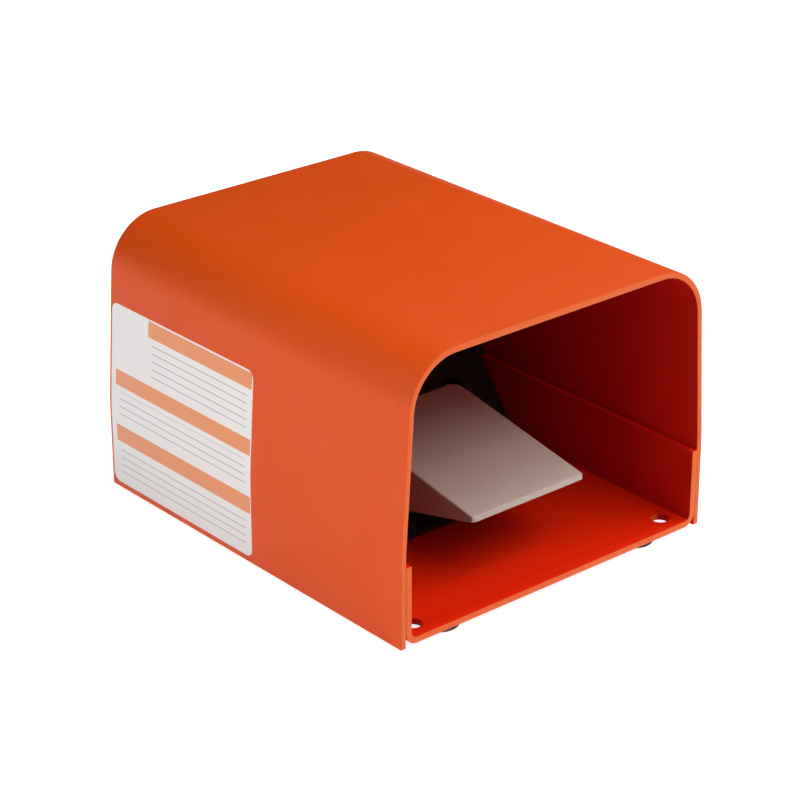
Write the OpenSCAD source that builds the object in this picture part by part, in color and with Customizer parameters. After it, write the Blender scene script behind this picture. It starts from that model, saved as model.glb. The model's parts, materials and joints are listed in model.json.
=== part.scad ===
// Industrial foot switch in a guard: a bent sheet-metal guard stands on a channel-shaped base pan,
// and inside it a spring-loaded pedal on a cross pin works a snap switch. A slanted toe plate and a
// rear cover close off the wiring space behind. Millimetres, +Z up, the foot goes in along +Y, and the
// origin is on the ground at the middle of the footprint.

/* [Guard] */
// Width over the guard's side walls
guard_w = 152.4; // [140:0.1:180]
// Depth of the guard, front to back
guard_d = 177.8; // [170:0.1:220]
// Height of the guard from its own bottom edge
guard_h = 111.5; // [100:0.1:140]
// Sheet thickness of the guard
guard_t = 2.5; // [1.5:0.1:4]
// Outer radius of the two top bends
guard_bend_r = 21.7; // [12:0.1:30]
// Inward lean of the side walls above the pan's flanges, in degrees
guard_lean = 3.75; // [0.5:0.05:6]
// Radius of the soft bend where that lean begins
guard_knee_r = 120; // [60:5:200]

/* [Base pan] */
// Sheet thickness of the pan
pan_t = 2.5; // [1.5:0.1:4]
// Height of the pan's side flanges, from its underside
pan_flange_h = 31.7; // [25:0.1:38]
// Outer radius of the bend between floor and flange
pan_bend_r = 5; // [3:0.1:8]
// How far the pan's underside lies above the guard's bottom edge
pan_lift = 0.8; // [0:0.1:2]
// Diameter of the four mounting holes
mount_hole_d = 7; // [5:0.1:9]
// Mounting hole spacing across the pan
mount_spacing_x = 127; // [110:0.1:130]
// Distance of the mounting holes from the pan's front and rear edges
mount_inset = 8.4; // [7:0.1:10]

/* [Rubber feet] */
// Radius of a foot
foot_r = 7.7; // [5:0.1:10]
// Height of a foot under the pan
foot_h = 2.8; // [2.6:0.1:6]
// Foot spacing across the pan
foot_spacing_x = 100; // [80:1:108]
// Distance of the feet from the pan's front and rear edges
foot_inset = 9.1; // [9:0.1:20]

/* [Toe plate] */
// Sheet thickness of the toe plate and the rear cover
plate_t = 1.5; // [1:0.1:2]
// Gap between the pivot bracket and the toe plate's foot behind it
toe_gap = 0.4; // [0.3:0.1:3]
// Height above the pan's floor at which the toe plate turns upright
toe_knee_h = 73.5; // [70:0.1:80]
// Gap between the plates' edges and the guard and pan round them
plate_gap = 0.5; // [0.3:0.1:1]
// Inner radius of the bends in the plates
plate_bend_r = 1.5; // [1:0.1:3]
// Length of the flange by which a plate is screwed to the pan
plate_flange = 14; // [12:0.5:16]

/* [Rear cover] */
// How far the rear cover is set in from the guard's rear edge
cover_recess = 19.8; // [18:0.1:26]
// Height of the rear cover above the pan's floor
cover_h = 86; // [84:0.5:96]
// Width of the rear cover's screw flange
cover_flange_w = 96; // [80:1:104]
// Height of the conduit hub's axis above the pan's floor
hub_h = 30; // [24:0.5:40]
// Inner radius of the hub's female thread
hub_thread_r = 9.2; // [8:0.1:11]
// Length of the hub's collar outside the rear cover
hub_len = 13; // [10:0.5:17]
// Outer radius of the hub's collar
hub_r = 14; // [12.5:0.1:17]

/* [Pedal] */
// Width of the pedal
pedal_w = 56.6; // [50:0.1:70]
// Sheet thickness of the pedal
pedal_t = 2; // [1.5:0.1:2.5]
// Distance of the pedal's nose behind the guard's front edge
pedal_front = 15.3; // [10:0.1:22]
// How far ahead of the pivot the pedal's top plate ends
pedal_rear = 2.3; // [1.5:0.1:5]
// Height of the nose's top above the pan's floor
nose_h = 28.05; // [26:0.05:31]
// Height of the nose's front face
nose_lip = 2.1; // [1:0.1:2.5]
// Rise of the pedal's top towards the back, in degrees
pedal_slope = 10.4; // [8:0.1:11]
// Fall of the side skirts' lower edge towards the back, in degrees
skirt_slope = 13.9; // [12:0.1:14.5]
// Radius of the top plate's rear corners
pedal_corner_r = 5; // [2:0.1:8]
// Radius of the edges along the pedal's sides
pedal_edge_r = 1; // [0.5:0.1:2]

/* [Pivot] */
// Distance of the pivot behind the guard's front edge
pivot_depth = 90; // [89:0.1:92]
// Height of the pivot above the pan's floor
pivot_h = 31.2; // [30:0.1:33]
// Radius of the pivot pin
pin_r = 3; // [2:0.1:4]
// Radial running clearance of the pin in the bushings
pin_gap = 0.05; // [0.02:0.01:0.1]
// Wall of the flanged bushings
bushing_wall = 1.5; // [1:0.1:2]
// Radius of the bracket's ears round the pin
ear_r = 10.3; // [9:0.1:11.5]
// Sheet thickness of the pivot bracket
bracket_t = 2; // [1.5:0.1:2.5]
// Side clearance between a bushing's flange and the ear beside it
ear_gap = 0.3; // [0.2:0.05:0.6]

/* [Snap switch] */
// Length of the switch case
switch_len = 27.8; // [27:0.1:28.5]
// Thickness of the switch case
switch_wide = 10.3; // [9.5:0.1:10.5]
// Height of the switch case
switch_high = 15.9; // [15.4:0.1:16]
// Height of the case's underside above the bracket's plate
switch_lift = 7.3; // [7:0.1:8]
// Distance of the plunger in front of the pivot
plunger_arm = 20; // [19:0.1:21]
// Offset of the plunger from the middle of the case
plunger_offset = 5; // [0:0.5:8]
// Radius of the plunger
plunger_r = 2.2; // [1.5:0.1:3]
// Travel of the plunger
plunger_travel = 2.8; // [2:0.1:3.5]

/* [Return springs] */
// Wire diameter
spring_wire = 1; // [0.8:0.1:1.2]
// Outer radius of the coils
spring_r = 4; // [3.5:0.1:4.4]
// Number of turns
spring_turns = 8; // [5:1:10]
// Gap between a spring and the pedal's skirt beside it
spring_side = 0.8; // [0.5:0.1:1.2]

/* [Hidden] */
$fn = 48;

guard_orange = "#D9531E";
black_paint = "#17171A";
pedal_grey = "#C9BDB4";
zinc = "#B9BCBF";
rubber_black = "#1B1B1C";
brass = "#C8A24A";

// Sizes of the small hardware
screw_r = 2;             // M4 shank
screw_head_r = 3.8;
screw_head_h = 2.4;
small_screw_r = 1.5;     // M3 shank
small_head_r = 2.7;
small_head_h = 1.8;
hole_gap = 0.25;         // radial clearance of a screw in its hole
thread_gap = 0.05;       // radial gap that stands for a thread
head_flatness = 1.25;    // how much flatter a screw's head is than a round dome
recess_long = 1.1;       // cross recess, as shares of the head's radius
recess_wide = 0.24;
nut_r = 3.9;             // M4 clinch nut, across corners
nut_h = 1.9;
contact_gap = 0.3;       // rest gap between pieces of different bodies that meet in use
cut = 1;                 // how far a cutter runs past the face that it cuts
tuck = 0.01;             // how far a straight run dips into the round it joins, so that they overlap

// Levels and main places
pan_z = foot_h;
guard_z = pan_z - pan_lift;
guard_top = guard_z + guard_h;
floor_z = pan_z + pan_t;
flange_top = pan_z + pan_flange_h;
pan_half = guard_w / 2 - guard_t;
pedal_in = pedal_w / 2 - pedal_t;
inner_half = pan_half - pan_t;
plate_z = floor_z + bracket_t;
pivot_z = floor_z + pivot_h;
pivot_y = back(pivot_depth);

// Place along Y of a distance behind the guard's front edge
function back(d) = d - guard_d / 2;
// A point [y, z] at a distance behind the front edge and a height above the pan's floor
function spot(d, h) = [back(d), floor_z + h];

function unit(v) = v / norm(v);
function turned(v, a) = [v[0] * cos(a) - v[1] * sin(a), v[0] * sin(a) + v[1] * cos(a)];
function side_of(v) = [-v[1], v[0]];

// Points of the arc that rounds corner b, between a and c, to radius r
function corner_arc(a, b, c, r, steps = 6) =
    let (u = unit(a - b), v = unit(c - b), half = acos(u * v) / 2,
         centre = b + unit(u + v) * r / sin(half), start = b + u * r / tan(half),
         sweep = (180 - 2 * half) * (u[0] * v[1] - u[1] * v[0] > 0 ? -1 : 1))
    [for (i = [0:steps]) centre + turned(start - centre, sweep * i / steps)];

// A closed outline whose corner i has radius radii[i]
function rounded(points, radii) =
    let (n = len(points))
    [for (i = [0:n - 1]) each radii[i] > 0
        ? corner_arc(points[(i + n - 1) % n], points[i], points[(i + 1) % n], radii[i]) : [points[i]]];

// An open path with every bend rounded to radius r
function bent(path, r) =
    [path[0], for (i = [1:len(path) - 2]) each corner_arc(path[i - 1], path[i], path[i + 1], r),
     path[len(path) - 1]];

// The outline of a sheet of thickness t whose one face follows the path, with t on its left
function sheet(path, t) =
    let (n = len(path), sides = [for (i = [0:n - 2]) side_of(unit(path[i + 1] - path[i]))])
    concat(path, [for (i = [n - 1:-1:0])
        let (a = sides[max(i - 1, 0)], b = sides[min(i, n - 2)]) path[i] + (a + b) * t / (1 + a * b)]);

// Extrude an outline drawn in [x, z] along Y from y0, and one drawn in [y, z] across X from x0
module along_y(y0, length)
    translate([0, y0 + length, 0]) rotate([90, 0, 0]) linear_extrude(length) children();
module across_x(x0, width)
    translate([x0, 0, 0]) rotate([90, 0, 90]) linear_extrude(width) children();
module both_sides() {
    children();
    mirror([1, 0, 0]) children();
}
module at_spot(x, d, h) translate([x, back(d), floor_z + h]) children();

// ---- Guard and pan outlines ----

lean_cz = guard_top - guard_bend_r;
knee_centre = [guard_w / 2 - guard_knee_r, flange_top];
knee_end = knee_centre + guard_knee_r * [cos(guard_lean), sin(guard_lean)];
wall_run = (lean_cz - knee_end[1] + guard_bend_r * sin(guard_lean)) / cos(guard_lean);
bend_centre = [knee_end[0] - wall_run * sin(guard_lean) - guard_bend_r * cos(guard_lean), lean_cz];

// Right half of the guard's filled section, inset from its outer face
function guard_side(inset) = [
    [guard_w / 2 - inset, guard_z],
    for (i = [0:4]) let (a = guard_lean * i / 4) knee_centre + (guard_knee_r - inset) * [cos(a), sin(a)],
    bend_centre + (guard_bend_r - inset - tuck) * [cos(guard_lean), sin(guard_lean)],
    bend_centre + [0, guard_bend_r - inset]
];

module guard_outline(inset) {
    side = guard_side(inset);
    polygon(concat(side, [for (i = [len(side) - 1:-1:0]) [-side[i][0], side[i][1]]]));
    for (s = [-1, 1]) translate([s * bend_centre[0], bend_centre[1]]) circle(guard_bend_r - inset);
}

// Section of the pan's channel between its outer and inner faces
module channel_outline(half, z0, z1, r) {
    translate([-half, z0 + r]) square([2 * half, z1 - z0 - r]);
    translate([r - half, z0]) square([2 * (half - r), z1 - z0]);
    for (s = [-1, 1]) translate([s * (half - r), z0 + r]) circle(r);
}

// Section of the tunnel inside guard and pan, less a gap all round
module tunnel_outline(gap) intersection() {
    guard_outline(guard_t + gap);
    union() {
        channel_outline(inner_half - gap, floor_z, flange_top + gap + cut, pan_bend_r - pan_t + gap);
        translate([-guard_w / 2, flange_top + gap]) square([guard_w, guard_h]);
    }
}

// ---- Hardware ----

// Pan-head screw standing on z = 0, its shank going down, with a cross recess
module screw(r, length, head_r, head_h) difference() {
    union() {
        translate([0, 0, -length]) cylinder(r = r, h = length);
        rotate_extrude() intersection() {
            dome_r = (head_r * head_r + head_h * head_h) / (2 * head_h);
            translate([0, head_h - dome_r * head_flatness]) scale(head_flatness) circle(dome_r);
            square([head_r, head_h]);
        }
    }
    for (a = [0, 90]) rotate(a) translate([0, 0, head_h])
        cube([head_r * recess_long, head_r * recess_wide, head_h], center = true);
}

module hex_nut(r, h, bore) difference() {
    cylinder(r = r, h = h, $fn = 6);
    translate([0, 0, -cut]) cylinder(r = bore, h = h + 2 * cut);
}

// Rivet with a low head above z = 0 and a flat one below the stack of sheets
module rivet(r, stack, head_r, head_h, tail_r, tail_h) {
    translate([0, 0, -stack]) cylinder(r = r, h = stack);
    rotate_extrude() intersection() {
        dome_r = (head_r * head_r + head_h * head_h) / (2 * head_h);
        translate([0, head_h - dome_r]) circle(dome_r);
        square([head_r, head_h]);
    }
    translate([0, 0, -stack - tail_h]) cylinder(r = tail_r, h = tail_h);
}

// ---- Where things are fastened ----

bushing_flange = 0.9;
ear_in = pedal_w / 2 + bushing_flange + ear_gap;
ear_out = ear_in + bracket_t;
bracket_ahead = 32;      // how far the pivot bracket reaches ahead of the pivot and behind it
bracket_behind = 7;
bracket_front = pivot_depth - bracket_ahead;
bracket_end = pivot_depth + bracket_behind;
toe_front = bracket_end + toe_gap;
toe_screw_x = [-52, 0, 52];
toe_screw_in = 9.5;      // how far behind the toe plate's foot its screws sit
toe_screw_d = toe_front + toe_screw_in;
cover_face_d = guard_d - cover_recess;
cover_screw_x = 36;
cover_screw_in = 7.5;
cover_screw_d = cover_face_d + cover_screw_in;
cover_top_screw_x = 46;
cover_top_screw_in = 5;
cover_top_screw_h = cover_h - cover_top_screw_in;
screw_tail = 2;          // how far those screws reach through the sheet they are tapped into
ground_x = -38;
ground_d = 132;
rivet_r = 2;
rivet_head_r = 3.4;
rivet_head_h = 1.5;
rivet_tail_r = 3;
rivet_tail_h = 1;
rivet_edge = 3.5;        // distance of the front rivets from the bracket's front edge
rivet_front_x = 11;
rivet_rear_in = 6.5;     // distance of the rear rivets from the ears
rivet_rear_edge = 5;
rivet_spots = [for (s = [-1, 1]) each [[s * rivet_front_x, bracket_front + rivet_edge],
                                       [s * (ear_in - rivet_rear_in), bracket_end - rivet_rear_edge]]];
mount_spots = [for (x = [-0.5, 0.5], d = [mount_inset, guard_d - mount_inset]) [x * mount_spacing_x, d]];
foot_spots = [for (x = [-0.5, 0.5], d = [foot_inset, guard_d - foot_inset]) [x * foot_spacing_x, d]];
pan_screws = concat([for (x = toe_screw_x) [x, toe_screw_d]],
                    [for (s = [-1, 1]) [s * cover_screw_x, cover_screw_d]], [[ground_x, ground_d]]);

module floor_hole(r, h = 0)
    translate([0, 0, pan_z - cut]) cylinder(r = r, h = pan_t + h + 2 * cut);

// ---- Guard, pan and feet ----

module guard_cover() color(guard_orange) along_y(back(0), guard_d) difference() {
    guard_outline(0);
    guard_outline(guard_t);
    translate([-guard_w / 2 + guard_t, guard_z - cut]) square([guard_w - 2 * guard_t, 2 * cut]);
}

module base_pan() color(guard_orange) difference() {
    along_y(back(0), guard_d) difference() {
        channel_outline(pan_half, pan_z, flange_top, pan_bend_r);
        channel_outline(inner_half, floor_z, flange_top + cut, pan_bend_r - pan_t);
    }
    for (p = mount_spots) translate([p[0], back(p[1]), 0]) floor_hole(mount_hole_d / 2);
    for (p = pan_screws) translate([p[0], back(p[1]), 0]) floor_hole(screw_r + hole_gap);
    for (p = rivet_spots) translate([p[0], back(p[1]), 0]) floor_hole(rivet_r + thread_gap);
}

foot_edge_r = 1.2;

module rubber_feet() color(rubber_black) for (p = foot_spots) translate([p[0], back(p[1]), 0])
    rotate_extrude() {
        square([foot_r - foot_edge_r, foot_h]);
        translate([0, foot_edge_r]) square([foot_r, foot_h - foot_edge_r]);
        translate([foot_r - foot_edge_r, foot_edge_r]) circle(foot_edge_r);
    }

// ---- Toe plate and rear cover ----

upright_d = cover_face_d - 2 * plate_t;
toe_lean = atan((upright_d - toe_front) / toe_knee_h);
toe_slope = [sin(toe_lean), cos(toe_lean)];
toe_path = [
    spot(toe_front + plate_flange, 0), spot(toe_front, 0),
    spot(upright_d, toe_knee_h), spot(upright_d, guard_h)
];
grommet_x = 19;
grommet_run = 16;        // distance of the grommet up the toe plate's slope
grommet_hole_r = 5;
grommet_r = 7;
grommet_lip = 1.4;
grommet_bore_r = 3.2;

module on_toe_slope(x, run)
    translate([x, back(toe_front) + run * toe_slope[0], floor_z + run * toe_slope[1]])
        rotate([90 - toe_lean, 0, 0]) children();

module toe_plate() color(black_paint) difference() {
    intersection() {
        across_x(-guard_w / 2, guard_w) polygon(sheet(bent(toe_path, plate_bend_r + plate_t), -plate_t));
        along_y(back(0), guard_d) tunnel_outline(plate_gap);
    }
    for (x = toe_screw_x) translate([x, back(toe_screw_d), 0]) floor_hole(screw_r + hole_gap, plate_t);
    both_sides() at_spot(cover_top_screw_x, upright_d - cut, cover_top_screw_h)
        rotate([-90, 0, 0]) cylinder(r = screw_r + thread_gap, h = plate_t + 2 * cut);
    on_toe_slope(grommet_x, grommet_run) translate([0, 0, -plate_t - cut])
        cylinder(r = grommet_hole_r, h = plate_t + 2 * cut);
}

module toe_plate_screws() color(zinc) for (x = toe_screw_x) at_spot(x, toe_screw_d, plate_t)
    screw(screw_r, plate_t + pan_t + nut_h, screw_head_r, screw_head_h);

module wire_grommet() color(rubber_black) on_toe_slope(grommet_x, grommet_run) difference() {
    union() {
        translate([0, 0, -plate_t]) cylinder(r = grommet_hole_r, h = plate_t);
        cylinder(r = grommet_r, h = grommet_lip);
        translate([0, 0, -plate_t - grommet_lip]) cylinder(r = grommet_r, h = grommet_lip);
    }
    translate([0, 0, -plate_t - grommet_lip - cut])
        cylinder(r = grommet_bore_r, h = plate_t + 2 * (grommet_lip + cut));
}

hub_hole_r = 10.6;
hub_shank_r = 10.4;
hub_bore_r = 7.9;
hub_shank_len = 9;
gasket_t = 1.5;
gasket_r = 13.5;
hub_flats_r = hub_r * 1.1;   // corner radius of the collar's eight flats
locknut_r = 15.5;
locknut_h = 4;

module rear_cover() color(black_paint) difference() {
    union() {
        intersection() {
            along_y(back(cover_face_d) - plate_t, plate_t) intersection() {
                tunnel_outline(plate_gap);
                translate([-guard_w / 2, floor_z]) square([guard_w, cover_h]);
            }
            translate([-guard_w / 2, back(0), floor_z + plate_t]) cube([guard_w, guard_d, guard_h]);
        }
        across_x(-cover_flange_w / 2, cover_flange_w) polygon(sheet(bent([
            spot(cover_face_d + plate_flange - plate_t, 0), spot(cover_face_d - plate_t, 0),
            spot(cover_face_d - plate_t, 2 * plate_flange)], plate_bend_r + plate_t), -plate_t));
    }
    both_sides() {
        translate([cover_screw_x, back(cover_screw_d), 0]) floor_hole(screw_r + hole_gap, plate_t);
        at_spot(cover_top_screw_x, cover_face_d - plate_t - cut, cover_top_screw_h)
            rotate([-90, 0, 0]) cylinder(r = screw_r + hole_gap, h = plate_t + 2 * cut);
    }
    at_spot(0, cover_face_d - plate_t - cut, hub_h)
        rotate([-90, 0, 0]) cylinder(r = hub_hole_r, h = plate_t + 2 * cut);
}

module rear_cover_screws() color(zinc) both_sides() {
    at_spot(cover_screw_x, cover_screw_d, plate_t)
        screw(screw_r, plate_t + pan_t + nut_h, screw_head_r, screw_head_h);
    at_spot(cover_top_screw_x, cover_face_d, cover_top_screw_h)
        rotate([-90, 0, 0]) screw(screw_r, 2 * plate_t + screw_tail, screw_head_r, screw_head_h);
}

module clinch_nuts() color(zinc) for (p = pan_screws) translate([p[0], back(p[1]), pan_z - nut_h])
    hex_nut(nut_r, nut_h, screw_r + thread_gap);

// The hub's own frame has z along its axis, with 0 on the rear cover's outer face
module at_hub() at_spot(0, cover_face_d, hub_h) rotate([-90, 0, 0]) children();

module conduit_hub() color(zinc) at_hub() difference() {
    union() {
        translate([0, 0, -plate_t - hub_shank_len])
            cylinder(r = hub_shank_r, h = hub_shank_len + 2 * plate_t);
        translate([0, 0, gasket_t]) intersection() {
            cylinder(r = hub_r, h = hub_len);
            cylinder(r = hub_flats_r, h = hub_len, $fn = 8);
        }
    }
    translate([0, 0, -plate_t - hub_shank_len - cut])
        cylinder(r = hub_bore_r, h = hub_shank_len + hub_len + 4 * plate_t);
    translate([0, 0, gasket_t]) cylinder(r = hub_thread_r, h = hub_len + cut);
}

module hub_gasket() color(rubber_black) at_hub() difference() {
    cylinder(r = gasket_r, h = gasket_t);
    translate([0, 0, -cut]) cylinder(r = hub_shank_r + thread_gap, h = gasket_t + 2 * cut);
}

module hub_locknut() color(zinc) at_hub() translate([0, 0, -plate_t - locknut_h]) difference() {
    cylinder(r = locknut_r, h = locknut_h, $fn = 6);
    translate([0, 0, -cut]) cylinder(r = hub_shank_r + thread_gap, h = locknut_h + 2 * cut);
}

washer_r = 5;
washer_h = 1;

module ground_washer() color(brass) at_spot(ground_x, ground_d, 0) difference() {
    cylinder(r = washer_r, h = washer_h);
    translate([0, 0, -cut]) cylinder(r = screw_r + hole_gap, h = washer_h + 2 * cut);
}

module ground_screw() color("#2F8F4E") at_spot(ground_x, ground_d, washer_h)
    screw(screw_r, washer_h + pan_t + nut_h, screw_head_r, screw_head_h);

// ---- Pivot bracket ----

ear_ahead = 20;          // how far ahead of the pivot an ear's front edge meets the low wall
ear_foot = pivot_depth - ear_ahead;
ear_step = 5;            // height of the bracket's side wall in front of the ears
web_ahead = 3;           // distance of the rear web's front face ahead of the pivot
web_d = pivot_depth - web_ahead;
stop_front_half = 8;
stop_back_half = 14;
stop_front_h = 13;
stop_back_h = 17;
bumper_r = 5;
bumper_h = 10;
bumper_t = 2.6;
bumper_taper = 1;
bracket_inner_r = 1;

module ear_outline() {
    polygon([
        spot(bracket_front, 0), spot(bracket_end, 0), spot(pivot_depth + ear_r, pivot_h),
        spot(pivot_depth - ear_r, pivot_h), spot(ear_foot, ear_step), spot(bracket_front, ear_step)
    ]);
    translate([pivot_y, pivot_z]) circle(ear_r);
}

module pivot_bracket() color(black_paint) difference() {
    union() {
        intersection() {
            along_y(back(bracket_front), pivot_depth + ear_r - bracket_front + cut) difference() {
                channel_outline(ear_out, floor_z, pivot_z + 2 * ear_r, bracket_inner_r + bracket_t);
                channel_outline(ear_in, plate_z, pivot_z + 3 * ear_r, bracket_inner_r);
            }
            across_x(-ear_out - cut, 2 * (ear_out + cut)) ear_outline();
        }
        translate([-stop_front_half, back(web_d - contact_gap) - bracket_t, floor_z])
            cube([2 * stop_front_half, bracket_t, stop_front_h]);
        translate([-stop_back_half, back(bracket_end) - bracket_t, floor_z])
            cube([2 * stop_back_half, bracket_t, stop_back_h]);
    }
    at_spot(-ear_out - cut, pivot_depth, pivot_h)
        rotate([0, 90, 0]) cylinder(r = pin_r + thread_gap, h = 2 * (ear_out + cut));
    for (p = rivet_spots) at_spot(p[0], p[1], -cut)
        cylinder(r = rivet_r + thread_gap, h = bracket_t + 2 * cut);
    both_sides() at_spot(foot_screw_x, foot_screw_d, -cut)
        cylinder(r = small_screw_r + thread_gap, h = bracket_t + 2 * cut);
}

module bracket_rivets() color(black_paint) for (p = rivet_spots) at_spot(p[0], p[1], bracket_t)
    rivet(rivet_r, bracket_t + pan_t, rivet_head_r, rivet_head_h, rivet_tail_r, rivet_tail_h);

pin_head_r = 4.6;
pin_head_h = 1.5;
pin_tail = 3;
groove_r = 2.2;
groove_w = 0.8;
clip_r = 5.6;
clip_gap = 0.05;
clip_notch_r = 0.9;
clip_notch_out = 1.4;    // how far the notches' middles lie outside the groove

module pivot_pin() color(zinc) at_spot(0, pivot_depth, pivot_h) rotate([0, 90, 0]) difference() {
    union() {
        translate([0, 0, -ear_out - pin_head_h]) cylinder(r = pin_head_r, h = pin_head_h);
        translate([0, 0, -ear_out]) cylinder(r = pin_r, h = 2 * ear_out + pin_tail);
    }
    translate([0, 0, ear_out + contact_gap]) difference() {
        cylinder(r = pin_r + cut, h = groove_w);
        translate([0, 0, -cut]) cylinder(r = groove_r, h = groove_w + 2 * cut);
    }
}

module pin_clip() color(zinc) at_spot(0, pivot_depth, pivot_h) rotate([0, 90, 0])
    translate([0, 0, ear_out + contact_gap + clip_gap]) difference() {
        cylinder(r = clip_r, h = groove_w - 2 * clip_gap);
        translate([0, 0, -cut]) cylinder(r = groove_r + clip_gap, h = 2 * cut);
        translate([-groove_r - clip_gap, 0, -cut]) cube([2 * (groove_r + clip_gap), clip_r + cut, 2 * cut]);
        for (a = [-60, 60]) rotate(a) translate([0, -groove_r - clip_notch_out, -cut])
            cylinder(r = clip_notch_r, h = 2 * cut);
    }

module stop_bumper() color(rubber_black) at_spot(0, bracket_end, bumper_h)
    translate([0, -bracket_t, 0]) rotate([90, 0, 0])
        cylinder(r1 = bumper_r, r2 = bumper_r - bumper_taper, h = bumper_t);

// ---- Return springs ----

seat_wall = 1.2;
seat_h = 6;
seat_gap = 0.3;
spring_x = pedal_in - spring_side - spring_r;
spring_d = pivot_depth - plunger_arm;
striker_h = pivot_h - 0.5;      // height of the striker bar's underside above the floor
spring_low = bracket_t + seat_wall;
spring_len = striker_h - contact_gap - spring_low;
coil_steps = 16;
wire_sides = 6;

module spring_seats() color(rubber_black) both_sides() at_spot(spring_x, spring_d, bracket_t)
    difference() {
        cylinder(r = spring_r + seat_gap + seat_wall, h = seat_h);
        translate([0, 0, seat_wall]) cylinder(r = spring_r + seat_gap, h = seat_h);
    }

// Height of the wire's middle after u turns: the end turns lie closed, the others share the rest
function coil_height(u) =
    u < 1 ? spring_wire * (u + 0.5)
    : u > spring_turns - 1 ? spring_len - spring_wire * (spring_turns - u + 0.5)
    : spring_wire * 1.5 + (spring_len - 3 * spring_wire) * (u - 1) / (spring_turns - 2);
function wire_ring(u) = let (r = spring_r - spring_wire / 2) [for (k = [0:wire_sides - 1])
    let (a = 360 * k / wire_sides, reach = r + cos(a) * spring_wire / 2)
    [reach * cos(360 * u), reach * sin(360 * u), coil_height(u) + sin(a) * spring_wire / 2]];

module coil_spring() {
    rings = spring_turns * coil_steps;
    n = wire_sides;
    points = [for (i = [0:rings]) each wire_ring(i / coil_steps)];
    skin = [for (i = [0:rings - 1], k = [0:n - 1]) let (j = (k + 1) % n)
        each [[i * n + k, (i + 1) * n + k, (i + 1) * n + j], [i * n + k, (i + 1) * n + j, i * n + j]]];
    polyhedron(points, concat(skin, [[for (k = [0:n - 1]) k]],
        [[for (k = [n - 1:-1:0]) rings * n + k]]));
}

module return_springs() color("#D5D7DA") both_sides()
    at_spot(spring_x, spring_d, spring_low) coil_spring();

// ---- Snap switch ----

lid_t = 1.5;
insulator_t = 0.5;
insulator_margin = 1.2;
mount_t = 1.5;
mount_bend_r = 1;
upright_half = 15.5;
upright_h = 26;
case_h = bracket_t + switch_lift;
case_front = spring_d - switch_wide / 2;
case_back = case_front + switch_wide;
upright_front = case_back + insulator_t;
foot_len = 7.2;
foot_screw_x = 9;
foot_screw_d = upright_front + mount_t + mount_bend_r + small_head_r + 0.2;
switch_hole_x = 11.1;
switch_hole_z = 5.15;
collar_r = 4;
collar_h = 1.2;
plunger_top = striker_h - contact_gap;
plunger_stem = 4;        // length of the plunger inside the case at rest
plunger_h = plunger_top - case_h - switch_high + plunger_stem;
well_floor_gap = 1;      // space left under the plunger when it is fully down
tip_r = 4;
terminal_size = [6.3, 0.8, 6.3];
terminal_x = [-10, 0, 10];
terminal_hole_r = 0.8;
terminal_hole_h = 2.5;
small_nut_r = 3.1;
small_nut_h = 2.2;

// The two mounting holes lie on a diagonal of the case
module at_switch_holes(d) for (s = [-1, 1])
    at_spot(s * switch_hole_x, d, case_h + switch_high / 2 + s * switch_hole_z)
        rotate([-90, 0, 0]) children();

module switch_slab(d, t, grow = 0) at_spot(-switch_len / 2 - grow, d, case_h - grow)
    difference() {
        cube([switch_len + 2 * grow, t, switch_high + grow]);
        translate([switch_len / 2 + grow, -back(d), -floor_z - case_h + grow])
            at_switch_holes(d - cut) cylinder(r = small_screw_r + thread_gap, h = t + 2 * cut);
    }

module switch_case() color("#26262A") difference() {
    union() {
        switch_slab(case_front + lid_t, switch_wide - lid_t);
        at_spot(plunger_offset, spring_d, case_h + switch_high) cylinder(r = collar_r, h = collar_h);
    }
    at_spot(plunger_offset, spring_d, plunger_top - plunger_h - plunger_travel - well_floor_gap)
        cylinder(r = plunger_r + pin_gap, h = guard_h);
}

module switch_lid() color("#5A2A22") switch_slab(case_front, lid_t);

module switch_insulator() color("#E6DCC0") switch_slab(case_back, insulator_t, insulator_margin);

module switch_plunger() color("#C9402E") at_spot(plunger_offset, spring_d, plunger_top - plunger_h)
    rotate_extrude() intersection() {
        square([plunger_r, plunger_h]);
        union() {
            translate([0, plunger_h - tip_r]) circle(tip_r);
            square([plunger_r, plunger_h - plunger_r]);
        }
    }

module switch_terminals() color(brass) for (x = terminal_x)
    at_spot(x - terminal_size[0] / 2, spring_d - terminal_size[1] / 2, case_h - terminal_size[2])
        difference() {
            cube(terminal_size);
            translate([terminal_size[0] / 2, -cut, terminal_hole_h])
                rotate([-90, 0, 0]) cylinder(r = terminal_hole_r, h = terminal_size[1] + 2 * cut);
        }

module switch_bracket() color(zinc) difference() {
    across_x(-upright_half, 2 * upright_half) polygon(sheet(bent([
        spot(upright_front, upright_h), spot(upright_front, bracket_t),
        spot(upright_front + foot_len + mount_t, bracket_t)], mount_bend_r + mount_t), mount_t));
    at_switch_holes(upright_front - cut) cylinder(r = small_screw_r + hole_gap, h = mount_t + 2 * cut);
    both_sides() at_spot(foot_screw_x, foot_screw_d, bracket_t - cut)
        cylinder(r = small_screw_r + hole_gap, h = mount_t + 2 * cut);
}

module switch_bracket_screws() color(zinc) both_sides()
    at_spot(foot_screw_x, foot_screw_d, bracket_t + mount_t)
        screw(small_screw_r, mount_t + bracket_t, small_head_r, small_head_h);

module switch_screws() color(zinc) at_switch_holes(case_front) rotate([180, 0, 0])
    screw(small_screw_r, switch_wide + insulator_t + mount_t + small_nut_h, small_head_r, small_head_h);

module switch_nuts() color(zinc) at_switch_holes(upright_front + mount_t)
    hex_nut(small_nut_r, small_nut_h, small_screw_r + thread_gap);

// ---- Pedal ----

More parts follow.
